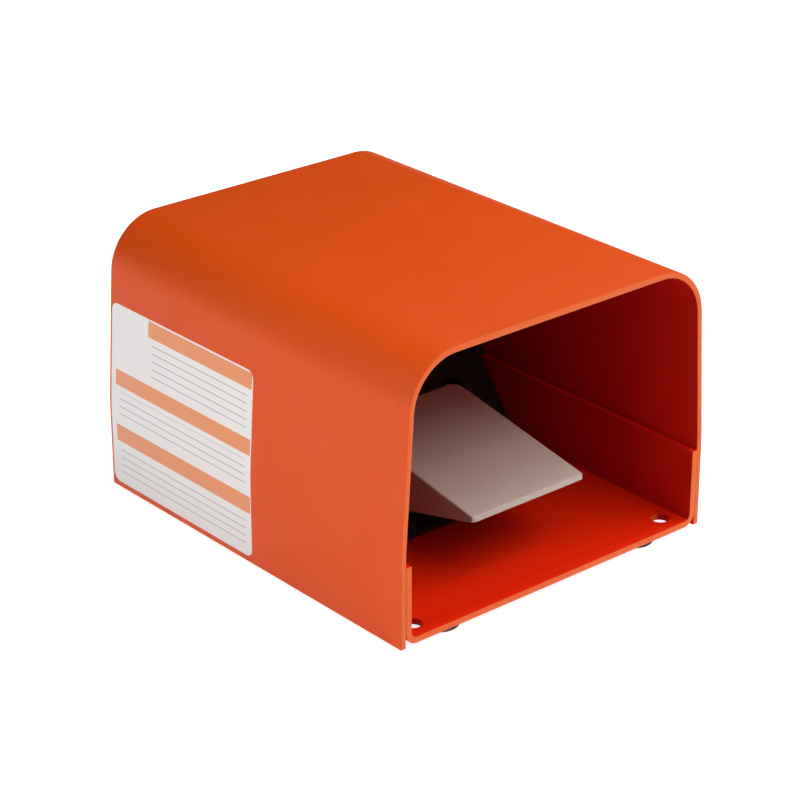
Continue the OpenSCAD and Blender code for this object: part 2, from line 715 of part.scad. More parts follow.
boss_r = 8;
skirt_behind = 3;        // how far the skirts' lower edge reaches behind the pivot
skirt_back = pivot_depth + skirt_behind;
pedal_back = pivot_depth - pedal_rear;
skirt_corner_r = 4;
nose_corner_r = 2;
nose_r = nose_lip * 0.9;     // radius of the nose's upper edge, a little less than its face is high
skirt_edge_r = 1;
skirt_relief = 0.6;      // the skirts part from the top plate this far ahead of its rear corners
web_lift = 1;            // how far the rear web's lower edge lies above the skirts'
bushing_tail = 1;
bushing_flange_r = 7;
web_h = 26;
striker_half = 7;
striker_t = 1.5;
striker_bend_r = 1;
peg_r = spring_r - spring_wire - 0.4;
peg_h = 4;

// Heights above the floor of the pedal's top, its underside and the skirts' lower edge
function top_h(d) = nose_h + (d - pedal_front) * tan(pedal_slope);
function under_h(d) = top_h(d) - pedal_t / cos(pedal_slope);
function skirt_h(d) = nose_h - nose_lip - (d - pedal_front) * tan(skirt_slope);
function at_top(d) = spot(d, top_h(d));
function at_skirt(d) = spot(d, skirt_h(d));

// Side view of a skirt: it follows the top plate, and behind that it drops to the boss round the pin
module skirt_outline() {
    relief = pedal_back - pedal_corner_r - skirt_relief;
    polygon(rounded([
        at_skirt(pedal_front), at_skirt(skirt_back), spot(pivot_depth + boss_r, pivot_h),
        spot(pivot_depth, pivot_h + boss_r), spot(relief, top_h(relief) - pedal_t / 2), at_top(relief),
        at_top(pedal_front)
    ], [0, skirt_corner_r, 0, 0, 0, 0, nose_r]));
    translate([pivot_y, pivot_z]) circle(boss_r);
}

// Side view of the top plate with its rounded nose
module top_outline() polygon(rounded([
    at_skirt(pedal_front), at_skirt(pedal_front + pedal_t),
    spot(pedal_front + pedal_t, under_h(pedal_front + pedal_t)),
    spot(pedal_back, under_h(pedal_back)), at_top(pedal_back), at_top(pedal_front)
], [0, 0, 0, 0, 0, nose_r]));

// Plan of the pedal, as long as asked, with its own radius on the rear corners
module pedal_plan(d_end, r_end) {
    half = pedal_w / 2;
    translate([0, 0, floor_z]) linear_extrude(guard_h) polygon(rounded([
        [-half, back(pedal_front)], [half, back(pedal_front)], [half, back(d_end)], [-half, back(d_end)]
    ], [nose_corner_r, nose_corner_r, r_end, r_end]));
}

// A long bar along the pedal's slope whose upper edges are rounded
module pedal_envelope() at_spot(0, pedal_front, nose_h) rotate([pedal_slope, 0, 0])
    along_y(-guard_d / 4, guard_d) {
        translate([-pedal_w / 2, -guard_h]) square([pedal_w, guard_h - pedal_edge_r]);
        translate([pedal_edge_r - pedal_w / 2, -guard_h]) square([pedal_w - 2 * pedal_edge_r, guard_h]);
        for (s = [-1, 1]) translate([s * (pedal_w / 2 - pedal_edge_r), -pedal_edge_r]) circle(pedal_edge_r);
    }

module pedal() color(pedal_grey) difference() {
    union() {
        intersection() {
            across_x(-pedal_w / 2, pedal_w) top_outline();
            pedal_plan(pedal_back, pedal_corner_r);
            pedal_envelope();
        }
        intersection() {
            union() {
                across_x(pedal_in, pedal_t) skirt_outline();
                across_x(-pedal_w / 2, pedal_t) skirt_outline();
            }
            pedal_plan(guard_d, skirt_edge_r);
            pedal_envelope();
        }
        at_spot(-pedal_in, web_d, skirt_h(web_d) + web_lift)
            cube([2 * pedal_in, pedal_t, web_h - web_lift - skirt_h(web_d)]);
    }
    at_spot(-pedal_w, pivot_depth, pivot_h) rotate([0, 90, 0])
        cylinder(r = pin_r + pin_gap + bushing_wall, h = 2 * pedal_w);
}

module pedal_bushings() color("#242426") both_sides() at_spot(0, pivot_depth, pivot_h) rotate([0, 90, 0])
    difference() {
        union() {
            translate([0, 0, pedal_in - bushing_tail])
                cylinder(r = pin_r + pin_gap + bushing_wall, h = pedal_t + bushing_tail);
            translate([0, 0, pedal_w / 2]) cylinder(r = bushing_flange_r, h = bushing_flange);
        }
        cylinder(r = pin_r + pin_gap, h = pedal_w);
    }

// A channel welded under the top plate: it presses the plunger and locates the springs' upper ends
module striker_bar() color(pedal_grey) {
    intersection() {
        across_x(-pedal_in, 2 * pedal_in) polygon(sheet(bent([
            spot(spring_d - striker_half, guard_h), spot(spring_d - striker_half, striker_h),
            spot(spring_d + striker_half, striker_h), spot(spring_d + striker_half, guard_h)],
            striker_bend_r + striker_t), striker_t));
        across_x(-pedal_w / 2, pedal_w) polygon([
            spot(pedal_front, under_h(pedal_front)), spot(pedal_front, 0),
            spot(pedal_back, 0), spot(pedal_back, under_h(pedal_back))]);
    }
    both_sides() at_spot(spring_x, spring_d, striker_h - peg_h) cylinder(r = peg_r, h = peg_h);
}

guard_cover();
base_pan();
rubber_feet();
toe_plate();
toe_plate_screws();
wire_grommet();
rear_cover();
rear_cover_screws();
clinch_nuts();
conduit_hub();
hub_gasket();
hub_locknut();
ground_screw();
ground_washer();
pivot_bracket();
bracket_rivets();
pivot_pin();
pin_clip();
stop_bumper();
spring_seats();
return_springs();
switch_bracket();
switch_bracket_screws();
switch_insulator();
switch_case();
switch_lid();
switch_terminals();
switch_screws();
switch_nuts();
switch_plunger();
pedal();
striker_bar();
pedal_bushings();
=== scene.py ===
import json
from math import atan2, cos, radians, sin, tan

import bmesh
import bpy
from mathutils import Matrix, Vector


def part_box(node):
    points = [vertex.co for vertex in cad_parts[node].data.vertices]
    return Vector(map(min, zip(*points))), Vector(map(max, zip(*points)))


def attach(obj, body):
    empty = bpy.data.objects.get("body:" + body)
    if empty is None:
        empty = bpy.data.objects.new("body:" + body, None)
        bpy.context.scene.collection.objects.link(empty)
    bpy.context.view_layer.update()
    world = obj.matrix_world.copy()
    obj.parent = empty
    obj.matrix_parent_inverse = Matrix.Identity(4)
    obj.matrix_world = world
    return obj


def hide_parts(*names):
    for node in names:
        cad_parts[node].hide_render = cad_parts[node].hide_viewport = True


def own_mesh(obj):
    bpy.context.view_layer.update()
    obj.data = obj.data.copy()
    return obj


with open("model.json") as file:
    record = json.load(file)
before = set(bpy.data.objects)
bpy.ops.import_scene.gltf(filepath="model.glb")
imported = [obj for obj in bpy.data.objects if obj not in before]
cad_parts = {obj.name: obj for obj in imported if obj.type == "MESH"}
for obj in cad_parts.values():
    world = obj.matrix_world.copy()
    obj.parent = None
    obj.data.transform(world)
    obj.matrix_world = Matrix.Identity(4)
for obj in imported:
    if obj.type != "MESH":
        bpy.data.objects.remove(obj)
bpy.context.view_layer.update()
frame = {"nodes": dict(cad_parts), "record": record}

MM = 0.001


# ---------------------------------------------------------------- shader graphs

class Value:
    """A shader socket that does arithmetic: each operator adds its Math node."""

    def __init__(self, graph, socket):
        self.graph, self.socket = graph, socket

    def _math(self, operation, *inputs):
        return self.graph.add("ShaderNodeMath", {"operation": operation}, dict(enumerate(inputs)))

    def __add__(self, other):
        return self._math("ADD", self, other)

    def __sub__(self, other):
        return self._math("SUBTRACT", self, other)

    def __rsub__(self, other):
        return self._math("SUBTRACT", other, self)

    def __mul__(self, other):
        return self._math("MULTIPLY", self, other)

    def __gt__(self, other):
        return self._math("GREATER_THAN", self, other)

    def __lt__(self, other):
        return self._math("LESS_THAN", self, other)

    def __abs__(self):
        return self._math("ABSOLUTE", self)

    def at_least(self, other):
        return self._math("MAXIMUM", self, other)

    def wave(self):
        return self._math("PINGPONG", self, 0.5)


class Finish:
    """One material: its shader, its object coordinates, and one way to add any other node."""

    def __init__(self, name, **shader_values):
        self.material = bpy.data.materials.new(name)
        self.material.use_nodes = True
        self.tree = self.material.node_tree
        self.shader = self.tree.nodes["Principled BSDF"]
        for socket, value in shader_values.items():
            self.shader.inputs[socket.replace("_", " ")].default_value = value
        self.place = self.add("ShaderNodeTexCoord", {}, {}, "Object")

    def add(self, kind, settings, inputs, output=0):
        node = self.tree.nodes.new(kind)
        for key, value in settings.items():
            setattr(node, key, value)
        for key, value in inputs.items():
            if isinstance(value, Value):
                self.tree.links.new(value.socket, node.inputs[key])
            else:
                node.inputs[key].default_value = value
        return Value(self, node.outputs[output])

    def noise(self, scale, detail=4, stretch=(1, 1, 1), roughness=0.5):
        where = self.add("ShaderNodeMapping", {}, {"Vector": self.place, "Scale": stretch})
        return self.add("ShaderNodeTexNoise", {}, {
            "Vector": where, "Scale": scale, "Detail": detail, "Roughness": roughness})

    def grains(self, scale):
        return self.add("ShaderNodeTexVoronoi", {}, {"Vector": self.place, "Scale": scale})

    def axis(self, name):
        return self.add("ShaderNodeSeparateXYZ", {}, {"Vector": self.place}, name)

    def spread(self, value, low, high, to_low, to_high):
        return self.add("ShaderNodeMapRange", {}, {
            "Value": value, "From Min": low, "From Max": high, "To Min": to_low, "To Max": to_high})

    def mixed(self, mask, first, second):
        return self.add("ShaderNodeMix", {"data_type": "RGBA"}, {
            "Factor": mask, 6: first, 7: second}, 2)

    def bump(self, height, distance, strength=1.0):
        return self.add("ShaderNodeBump", {}, {"Height": height, "Distance": distance, "Strength": strength})

    def set(self, **links):
        for socket, value in links.items():
            self.tree.links.new(value.socket, self.shader.inputs[socket.replace("_", " ")])
        return self.material


def powder_coat(name, light, deep, peel, roughness, gloss, specks=0.0, over=None):
    """Baked powder coat: soft orange peel, a fine grain, a slight drift of colour and a few specks.

    What lies over the coat, such as a decal, is a function that gets the coat, its colour, roughness and
    height, and gives all three back.
    """
    coat = Finish(name, Roughness=roughness, Specular_IOR_Level=gloss)
    drift = coat.spread(coat.noise(14, 2), 0.35, 0.65, 0, 1)
    paint = coat.mixed(drift, deep, light)
    if specks:
        spots = coat.spread(coat.grains(150), 0.035, 0.05, specks, 0) * (coat.noise(37, 1) > 0.62)
        paint = coat.mixed(spots, paint, (0.02, 0.008, 0.004, 1))
    rough = coat.spread(coat.noise(60, 3), 0.3, 0.7, roughness - 0.04, roughness + 0.05)
    height = coat.noise(520, 2) * peel + coat.noise(2600, 3) * 0.12
    if over:
        paint, rough, height = over(coat, paint, rough, height)
    return coat.set(Base_Color=paint, Roughness=rough, Normal=coat.bump(height, 0.0001, 1.0))


def metal(name, tint, roughness, streak):
    """Rolled, drawn or plated metal: fine streaks in one direction and a cloudy finish."""
    plate = Finish(name, Metallic=1.0, Roughness=roughness)
    streaks = plate.noise(700, 4, streak)
    clouds = plate.noise(90, 4)
    shade = plate.mixed(clouds, tuple(c * 0.82 for c in tint[:3]) + (1,), tint)
    return plate.set(Base_Color=shade, Normal=plate.bump(streaks, 0.00002, 0.35),
                     Roughness=plate.spread(streaks, 0.3, 0.7, roughness - 0.07, roughness + 0.08))


def moulded(name, tint, roughness, grain=900):
    """Moulded plastic or rubber with a fine spark-eroded grain."""
    skin = Finish(name, Roughness=roughness)
    shade = skin.mixed(skin.noise(120, 3), tuple(c * 0.8 for c in tint[:3]) + (1,), tint)
    return skin.set(Base_Color=shade, Normal=skin.bump(skin.noise(grain, 3), 0.00004, 0.5),
                    Roughness=skin.spread(skin.noise(200, 2), 0.3, 0.7, roughness - 0.05, roughness + 0.06))


# The decal on the left wall: each patch goes from [y, z] to [y, z] and has rounded corners of a radius.
LEFT_SIDE = -60 * MM
FILM = ((-2.4 * MM, 4.5 * MM), (87.6 * MM, 80.8 * MM), 3.5 * MM)
BANDS = (((-1.7 * MM, 73.4 * MM), (63.5 * MM, 80.0 * MM), 0.6 * MM),
         ((-1.7 * MM, 46.9 * MM), (84.7 * MM, 53.5 * MM), 0.6 * MM),
         ((-1.9 * MM, 22.9 * MM), (84.5 * MM, 30.0 * MM), 0.6 * MM))
RULED_BLOCKS = (((1 * MM, 56.5 * MM), (61 * MM, 71.2 * MM), 0.4 * MM),
                ((1 * MM, 32.5 * MM), (82 * MM, 44.8 * MM), 0.4 * MM),
                ((1 * MM, 8.5 * MM), (82 * MM, 20.8 * MM), 0.4 * MM))
RULE_PITCH, RULE_HALF_SHARE, FILM_ROUGHNESS = 3.2 * MM, 0.055, 0.34


def in_patch(coat, low, high, radius):
    """1 inside an upright rectangle [y, z] to [y, z] whose corners are rounded."""
    beyond = []
    for name, first, last in zip("YZ", low, high):
        past = abs(coat.axis(name) - (first + last) / 2) - ((last - first) / 2 - radius)
        beyond.append(past.at_least(0))
    return beyond[0] * beyond[0] + beyond[1] * beyond[1] < radius ** 2


def in_any(coat, patches):
    """1 inside one patch or another."""
    inside = in_patch(coat, *patches[0])
    for patch in patches[1:]:
        inside = inside.at_least(in_patch(coat, *patch))
    return inside


def blank_decal(coat, paint, rough, height):
    """A plain vinyl decal on the left wall, without words or signs: white, three bands and ruled lines."""
    left = coat.axis("X") < LEFT_SIDE
    vinyl = in_patch(coat, *FILM) * left
    bands = in_any(coat, BANDS)
    rules = (coat.axis("Z") * (1 / RULE_PITCH)).wave() < RULE_HALF_SHARE
    blocks = in_any(coat, RULED_BLOCKS)
    film = coat.mixed(coat.noise(40, 2), (0.93, 0.90, 0.89, 1), (0.95, 0.92, 0.91, 1))
    film = coat.mixed(blocks * rules, film, (0.42, 0.42, 0.43, 1))
    film = coat.mixed(bands, film, (0.90, 0.32, 0.13, 1))
    return (coat.mixed(vinyl, paint, film), rough + vinyl * (FILM_ROUGHNESS - rough),
            height * (1 - vinyl * 0.75) + vinyl * 1.2)


# The outer coat is lighter than the darker copy inside, which is painted shade where orange walls face each
# other.
orange_coat = powder_coat("orange_powder_coat", (0.81, 0.084, 0.002, 1), (0.80, 0.081, 0.002, 1),
                          1.0, 0.5, 0.3,
                          specks=0.7, over=blank_decal)
shaded_inner_coat = powder_coat("orange_coat_inside_painted_shade", (0.53, 0.006, 0.001, 1), (0.51, 0.005, 0.001, 1),
                         1.0, 0.55, 0.1)
# The pan's inside is a redder copy of the orange coat with less green: painted light and shade of the floor
# inside the tunnel, and painted light on the flange tops.
pan_light_and_shade_coat = powder_coat("orange_coat_pan_painted_light_and_shade", (0.92, 0.022, 0.001, 1), (0.90, 0.020, 0.001, 1), 1.0, 0.5, 0.12)
# The rims take a brighter, yellower copy of the orange coat: painted highlight along the cut edges.
edge_highlight_coat = powder_coat("orange_coat_edges_painted_highlight", (0.98, 0.150, 0.014, 1), (0.94, 0.135, 0.011, 1),
                        0.8, 0.45, 0.4)
black_coat = powder_coat("black_powder_coat", (0.030, 0.031, 0.028, 1), (0.024, 0.025, 0.023, 1),
                         1.2, 0.5, 0.35)
# The pedal's sides and underside take a darker copy of its enamel: painted shade where little light reaches.
shaded_pedal_enamel = powder_coat("pedal_enamel_sides_painted_shade", (0.33, 0.25, 0.22, 1), (0.30, 0.23, 0.20, 1), 0.9, 0.5, 0.2)
pedal_enamel = powder_coat("pedal_enamel", (0.65, 0.54, 0.465, 1), (0.61, 0.50, 0.43, 1), 0.7, 0.42, 0.25)
rubber_skin = moulded("black_rubber", (0.012, 0.012, 0.012, 1), 0.62)
zinc_plate = metal("zinc_plate", (0.66, 0.66, 0.65, 1), 0.32, (1, 1, 1))
galvanised = metal("galvanised_sheet", (0.60, 0.61, 0.62, 1), 0.38, (1, 0.15, 1))
hub_metal = metal("die_cast_zinc", (0.55, 0.56, 0.58, 1), 0.45, (1, 1, 1))
pin_metal = metal("ground_steel", (0.62, 0.62, 0.61, 1), 0.22, (0.1, 1, 1))
spring_metal = metal("spring_wire", (0.64, 0.64, 0.65, 1), 0.25, (1, 1, 1))
brass_metal = metal("brass", (0.75, 0.52, 0.22, 1), 0.3, (1, 1, 1))
green_zinc = metal("green_dyed_zinc", (0.07, 0.32, 0.12, 1), 0.38, (1, 1, 1))
case_plastic = moulded("case_phenolic", (0.018, 0.018, 0.02, 1), 0.42)
lid_plastic = moulded("lid_phenolic", (0.09, 0.018, 0.013, 1), 0.4)
plunger_plastic = moulded("plunger_moulding", (0.5, 0.03, 0.02, 1), 0.3)
board = moulded("insulating_sheet", (0.62, 0.52, 0.33, 1), 0.6, 1500)
bushing_plastic = moulded("filled_nylon", (0.016, 0.016, 0.016, 1), 0.45)
black_oxide = metal("black_oxide", (0.05, 0.05, 0.05, 1), 0.45, (1, 1, 1))

finish_of = {
    "guard_cover": orange_coat, "base_pan": orange_coat, "toe_plate": black_coat, "rear_cover": black_coat,
    "pedal": pedal_enamel, "striker_bar": pedal_enamel, "rubber_feet": rubber_skin,
    "wire_grommet": rubber_skin, "stop_bumper": rubber_skin, "spring_seats": rubber_skin,
    "hub_gasket": rubber_skin, "pivot_bracket": black_coat, "switch_bracket": galvanised,
    "bracket_rivets": black_oxide, "pedal_bushings": bushing_plastic,
    "conduit_hub": hub_metal, "pivot_pin": pin_metal, "return_springs": spring_metal,
    "switch_terminals": brass_metal, "ground_washer": brass_metal, "ground_screw": green_zinc,
    "switch_case": case_plastic, "switch_lid": lid_plastic, "switch_plunger": plunger_plastic,
    "switch_insulator": board,
}
for name, node in frame["nodes"].items():
    node.data.materials.clear()
    node.data.materials.append(finish_of.get(name, zinc_plate))


# ---------------------------------------------------------------- modelling by hand

def begin(name, finish):
    """Names the new primitive, gives it its finish and applies its place."""
    piece = bpy.context.object
    piece.name = piece.data.name = name
    piece.data.materials.append(finish)
    bpy.ops.object.transform_apply(location=True, rotation=True, scale=True)
    return piece


def new_plane(name, finish, centre, turn, size):
    bpy.ops.object.select_all(action="DESELECT")
    bpy.ops.mesh.primitive_plane_add(size=1, location=centre, rotation=turn)
    bpy.context.object.scale = (size[0], size[1], 1)
    return begin(name, finish)


def new_cylinder(name, finish, centre, radius, depth):
    bpy.ops.object.select_all(action="DESELECT")
    bpy.ops.mesh.primitive_cylinder_add(vertices=48, radius=radius, depth=depth, location=centre)
    return begin(name, finish)


def pick(kind, test):
    """In edit mode, selects just the edges or faces that pass a test of their middle and run or normal."""
    mesh = bmesh.from_edit_mesh(bpy.context.object.data)
    bpy.ops.mesh.select_mode(type=kind)
    bpy.ops.mesh.select_all(action="DESELECT")
    for item in {"EDGE": mesh.edges, "FACE": mesh.faces}[kind]:
        if kind == "EDGE":
            first, second = item.verts
            item.select = bool(test((first.co + second.co) / 2, second.co - first.co))
        else:
            item.select = bool(test(item.calc_center_median(), item.normal))
    mesh.select_flush_mode()
    bmesh.update_edit_mesh(bpy.context.object.data)


def pull(x, y, z):
    """Extrudes what is selected by that much."""
    bpy.ops.mesh.extrude_region_move(TRANSFORM_OT_translate={"value": (x, y, z)})


def apply(piece, kind, **settings):
    """Adds a modifier with these settings and applies it."""
    bare(piece)
    modifier = piece.modifiers.new(kind.lower(), kind)
    for key, value in settings.items():
        setattr(modifier, key, value)
    bpy.ops.object.modifier_apply(modifier=modifier.name)


def finish_edges(piece, width, segments=2, angle=50):
    """Rounds the sharp edges by the thickness of the coat and smooths the rest."""
    apply(piece, "BEVEL", width=width, segments=segments, limit_method="ANGLE", angle_limit=radians(angle))
    bpy.ops.object.shade_smooth_by_angle(angle=radians(35))


def bare(piece):
    """Selects this one object and makes it the active one."""
    bpy.ops.object.select_all(action="DESELECT")
    piece.select_set(True)
    bpy.context.view_layer.objects.active = piece


def repaint(piece, finish, test):
    """Gives the faces that pass the test another finish."""
    bare(piece)
    piece.data.materials.append(finish)
    piece.active_material_index = len(piece.data.materials) - 1
    bpy.ops.object.mode_set(mode="EDIT")
    pick("FACE", test)
    bpy.ops.object.material_slot_assign()
    bpy.ops.object.mode_set(mode="OBJECT")


def place_copies(piece, places):
    """Copies a finished piece, each time with its own mesh, to these places and joins them."""
    twins = []
    for place in places:
        twin = piece.copy()
        twin.data = piece.data.copy()
        twin.location = place
        bpy.context.scene.collection.objects.link(twin)
        twins.append(twin)
    name = piece.name
    bpy.data.objects.remove(piece)
    bare(twins[0])
    for twin in twins:
        twin.select_set(True)
    bpy.ops.object.join()
    bpy.ops.object.transform_apply(location=True, rotation=True, scale=True)
    twins[0].name = twins[0].data.name = name
    return twins[0]


def stand_for(piece, node, body="base"):
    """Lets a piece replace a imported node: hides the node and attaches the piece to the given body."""
    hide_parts(node)
    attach(piece, body)


def edged(name, node, finish, width, body="base"):
    """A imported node's own shape with its seams merged and its cut edges rounded by the coat."""
    source = frame["nodes"][node]
    piece = bpy.data.objects.new(name, source.data.copy())
    bpy.context.scene.collection.objects.link(piece)
    piece.data.name = name
    piece.data.materials.clear()
    piece.data.materials.append(finish)
    bare(piece)
    bpy.ops.object.mode_set(mode="EDIT")
    bpy.ops.mesh.select_all(action="SELECT")
    bpy.ops.mesh.remove_doubles(threshold=1e-6)
    bpy.ops.mesh.dissolve_limited(angle_limit=radians(0.5))
    bpy.ops.mesh.normals_make_consistent(inside=False)
    bpy.ops.object.mode_set(mode="OBJECT")
    finish_edges(piece, width, 2, 40)
    stand_for(piece, node, body)
    return piece


def coil(name, finish, radius, wire, turns, z_of, steps=24, sides=10):
    """A helix about Z: a ring swept by a Screw modifier, then each ring is set to the height z_of(turn)."""
    bpy.ops.object.select_all(action="DESELECT")
    bpy.ops.mesh.primitive_circle_add(vertices=sides, radius=wire, location=(radius, 0, 0),
                                      rotation=(radians(90), 0, 0), fill_type="NGON")
    piece = begin(name, finish)
    bpy.ops.object.mode_set(mode="EDIT")
    bpy.ops.mesh.select_all(action="SELECT")
    bpy.ops.mesh.delete(type="ONLY_FACE")
    bpy.ops.object.mode_set(mode="OBJECT")
    apply(piece, "SCREW", axis="Z", angle=radians(360 * turns), screw_offset=turns * wire * 3,
          steps=int(turns * steps), render_steps=int(turns * steps), use_merge_vertices=False)
    bpy.ops.object.mode_set(mode="EDIT")
    mesh = bmesh.from_edit_mesh(piece.data)
    mesh.verts.ensure_lookup_table()
    rings = len(mesh.verts) // sides
    for ring in range(rings):
        turn = turns * ring / (rings - 1)
        for corner in mesh.verts[ring * sides:(ring + 1) * sides]:
            corner.co.z += z_of(turn) - turn * wire * 3
    bmesh.update_edit_mesh(piece.data)
    bpy.ops.mesh.select_mode(type="EDGE")
    bpy.ops.mesh.select_all(action="DESELECT")
    bpy.ops.mesh.select_non_manifold()
    bpy.ops.mesh.edge_face_add()
    bpy.ops.mesh.select_all(action="SELECT")
    bpy.ops.mesh.normals_make_consistent(inside=False)
    bpy.ops.object.mode_set(mode="OBJECT")
    bpy.ops.object.shade_smooth_by_angle(angle=radians(60))
    return piece


def bent_sheet(name, outside, inside, edges, corners, y_front, y_rear, bends, thickness):
    """A sheet bent along Y: corners are [x, z] of its outer face, bends give each inner corner its radius."""
    (x0, z0), (x1, z1) = corners[:2]
    piece = new_plane(name, outside, ((x0 + x1) / 2, (y_front + y_rear) / 2, (z0 + z1) / 2),
                      (0, -atan2(z1 - z0, x1 - x0), 0),
                      (Vector((x1 - x0, z1 - z0)).length, y_rear - y_front))
    piece.data.materials.append(inside)
    piece.data.materials.append(edges)
    bpy.ops.object.mode_set(mode="EDIT")
    pick("EDGE", lambda middle, run: (middle - Vector((x1, middle.y, z1))).length < 1e-6)
    for (xa, za), (xb, zb) in zip(corners[1:], corners[2:]):
        pull(xb - xa, 0, zb - za)
    for place, radius, segments in bends:
        before, here, after = (Vector(corners[i]) for i in (place - 1, place, place + 1))
        turn = (here - before).angle(after - here)
        pick("EDGE", lambda middle, run: abs(run.y) > 1e-3
             and (Vector((middle.x, middle.z)) - here).length < 1e-6)
        bpy.ops.mesh.bevel(offset=radius * tan(turn / 2), offset_type="OFFSET", segments=segments, profile=0.5)
    bpy.ops.mesh.select_all(action="SELECT")
    bpy.ops.mesh.normals_make_consistent(inside=False)
    mesh = bmesh.from_edit_mesh(piece.data)
    middle = sum((f.calc_center_median() for f in mesh.faces), Vector()) / len(mesh.faces)
    if sum((f.calc_center_median() - middle).dot(f.normal) * f.calc_area() for f in mesh.faces) < 0:
        bpy.ops.mesh.flip_normals()
    bpy.ops.object.mode_set(mode="OBJECT")
    apply(piece, "SOLIDIFY", thickness=thickness, offset=-1, use_even_offset=True,
          material_offset=1, material_offset_rim=2)
    return piece


# ---------------------------------------------------------------- guard and pan

guard_low, guard_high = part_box("guard_cover")
pan_low, pan_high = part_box("base_pan")
SHEET = 2.5 * MM
LEAN, KNEE_R, BEND_R = radians(3.75), 120 * MM, 21.7 * MM
PAN_BEND_R, GUARD_EDGE, PAN_EDGE = 5 * MM, 0.45 * MM, 0.4 * MM
half_w = guard_high.x
knee_z = pan_high.z + KNEE_R * tan(LEAN / 2)
shoulder_x = half_w - (guard_high.z - knee_z) * tan(LEAN)

guard_path = [(half_w, guard_low.z), (half_w, knee_z), (shoulder_x, guard_high.z),
              (-shoulder_x, guard_high.z), (-half_w, knee_z), (-half_w, guard_low.z)]
# Inside, the guard takes the darker copy of the coat as painted shade, and its rims take the brighter copy as
# painted highlight.
guard_shell = bent_sheet("guard_shell", orange_coat, shaded_inner_coat, edge_highlight_coat, guard_path,
                         guard_low.y, guard_high.y,
                         [(2, BEND_R, 18), (3, BEND_R, 18), (1, KNEE_R, 4), (4, KNEE_R, 4)], SHEET)
finish_edges(guard_shell, GUARD_EDGE, 3)
stand_for(guard_shell, "guard_cover")

pan_path = [(pan_high.x, pan_high.z), (pan_high.x, pan_low.z),
            (-pan_high.x, pan_low.z), (-pan_high.x, pan_high.z)]
# The pan's inside takes the redder copy of the coat as painted light and shade, and its rims take the brighter
# copy as painted highlight.
pan_channel = bent_sheet("pan_channel", orange_coat, pan_light_and_shade_coat, edge_highlight_coat, pan_path, pan_low.y, pan_high.y,
                         [(1, PAN_BEND_R, 8), (2, PAN_BEND_R, 8)], SHEET)
bolts = next(m for m in frame["record"]["mounts"] if m["name"] == "pan_bolts")["dims"]
for x in (-bolts["spacing_x_mm"] / 2, bolts["spacing_x_mm"] / 2):
    for y in (-bolts["spacing_y_mm"] / 2, bolts["spacing_y_mm"] / 2):
        drill = new_cylinder("drill", orange_coat, (x * MM, y * MM, pan_low.z),
                             bolts["hole_r_mm"] * MM, 20 * MM)
        apply(pan_channel, "BOOLEAN", operation="DIFFERENCE", object=drill, solver="EXACT")
        bpy.data.objects.remove(drill)
# The insides of the pan's flanges take the darker copy of the coat: painted shade.
repaint(pan_channel, shaded_inner_coat,
        lambda middle, normal: abs(normal.x) > 0.5 and abs(middle.x) < pan_high.x - 2 * MM)
# The flange tops take the redder copy of the coat: painted light along their lit top edge.
repaint(pan_channel, pan_light_and_shade_coat, lambda middle, normal: normal.z > 0.9 and middle.z > pan_high.z - 1 * MM)
finish_edges(pan_channel, PAN_EDGE, 3)
stand_for(pan_channel, "base_pan")

foot_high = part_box("rubber_feet")[1]
FOOT_R, FOOT_ROUND, FOOT_RIM = 7.7 * MM, 1.2 * MM, 1.6 * MM
CUP_DEEP, CUP_WALL, CUP_STEP = 0.8 * MM, 1.2 * MM, 0.4 * MM
foot = new_cylinder("rubber_feet_moulded", rubber_skin, (0, 0, foot_high.z / 2), FOOT_R, foot_high.z)
bpy.ops.object.mode_set(mode="EDIT")
pick("EDGE", lambda middle, run: middle.z < 1e-5)
bpy.ops.mesh.bevel(offset=FOOT_ROUND, segments=5)
pick("FACE", lambda middle, normal: normal.z < -0.99 and middle.z < 1e-5)
bpy.ops.mesh.inset(thickness=FOOT_RIM)
pull(0, 0, CUP_DEEP)
bpy.ops.mesh.inset(thickness=CUP_WALL)
pull(0, 0, -CUP_STEP)
bpy.ops.object.mode_set(mode="OBJECT")
finish_edges(foot, 0.15 * MM)
foot_x, foot_y = foot_high.x - FOOT_R, foot_high.y - FOOT_R
feet = place_copies(foot, [(x, y, 0) for x in (-foot_x, foot_x) for y in (-foot_y, foot_y)])
stand_for(feet, "rubber_feet")

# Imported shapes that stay, with the width in millimetres that rounds their cut edges.
for node, slot, finish, width in (
        ("toe_plate", "black_paint", black_coat, 0.25), ("rear_cover", "black_paint", black_coat, 0.25),
        ("pivot_bracket", "black_paint", black_coat, 0.25), ("conduit_hub", "hub_casting", hub_metal, 0.35),
        ("hub_locknut", "zinc_steel", zinc_plate, 0.3), ("wire_grommet", "rubber", rubber_skin, 0.35),
        ("stop_bumper", "rubber", rubber_skin, 0.4), ("spring_seats", "rubber", rubber_skin, 0.2),
        ("switch_case", "case_plastic", case_plastic, 0.3), ("switch_lid", "lid_plastic", lid_plastic, 0.25),
        ("switch_bracket", "bracket_steel", galvanised, 0.2)):
    edged(node + "_edged", node, finish, width * MM)
# The striker bar under the pedal takes the darker enamel: painted shade.
edged("striker_bar_edged", "striker_bar", shaded_pedal_enamel, 0.25 * MM, "treadle")
pedal = edged("pedal_edged", "pedal", pedal_enamel, 0.3 * MM, "treadle")
# Faces of the pedal that point sideways or down take the darker enamel: painted shade.
repaint(pedal, shaded_pedal_enamel, lambda middle, normal: abs(normal.x) > 0.9 or normal.z < -0.5)


# ---------------------------------------------------------------- springs and the hub's thread

spring_low, spring_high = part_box("return_springs")
WIRE, SPRING_R, TURNS = 0.5 * MM, 4 * MM, 8
spring_len = spring_high.z - spring_low.z


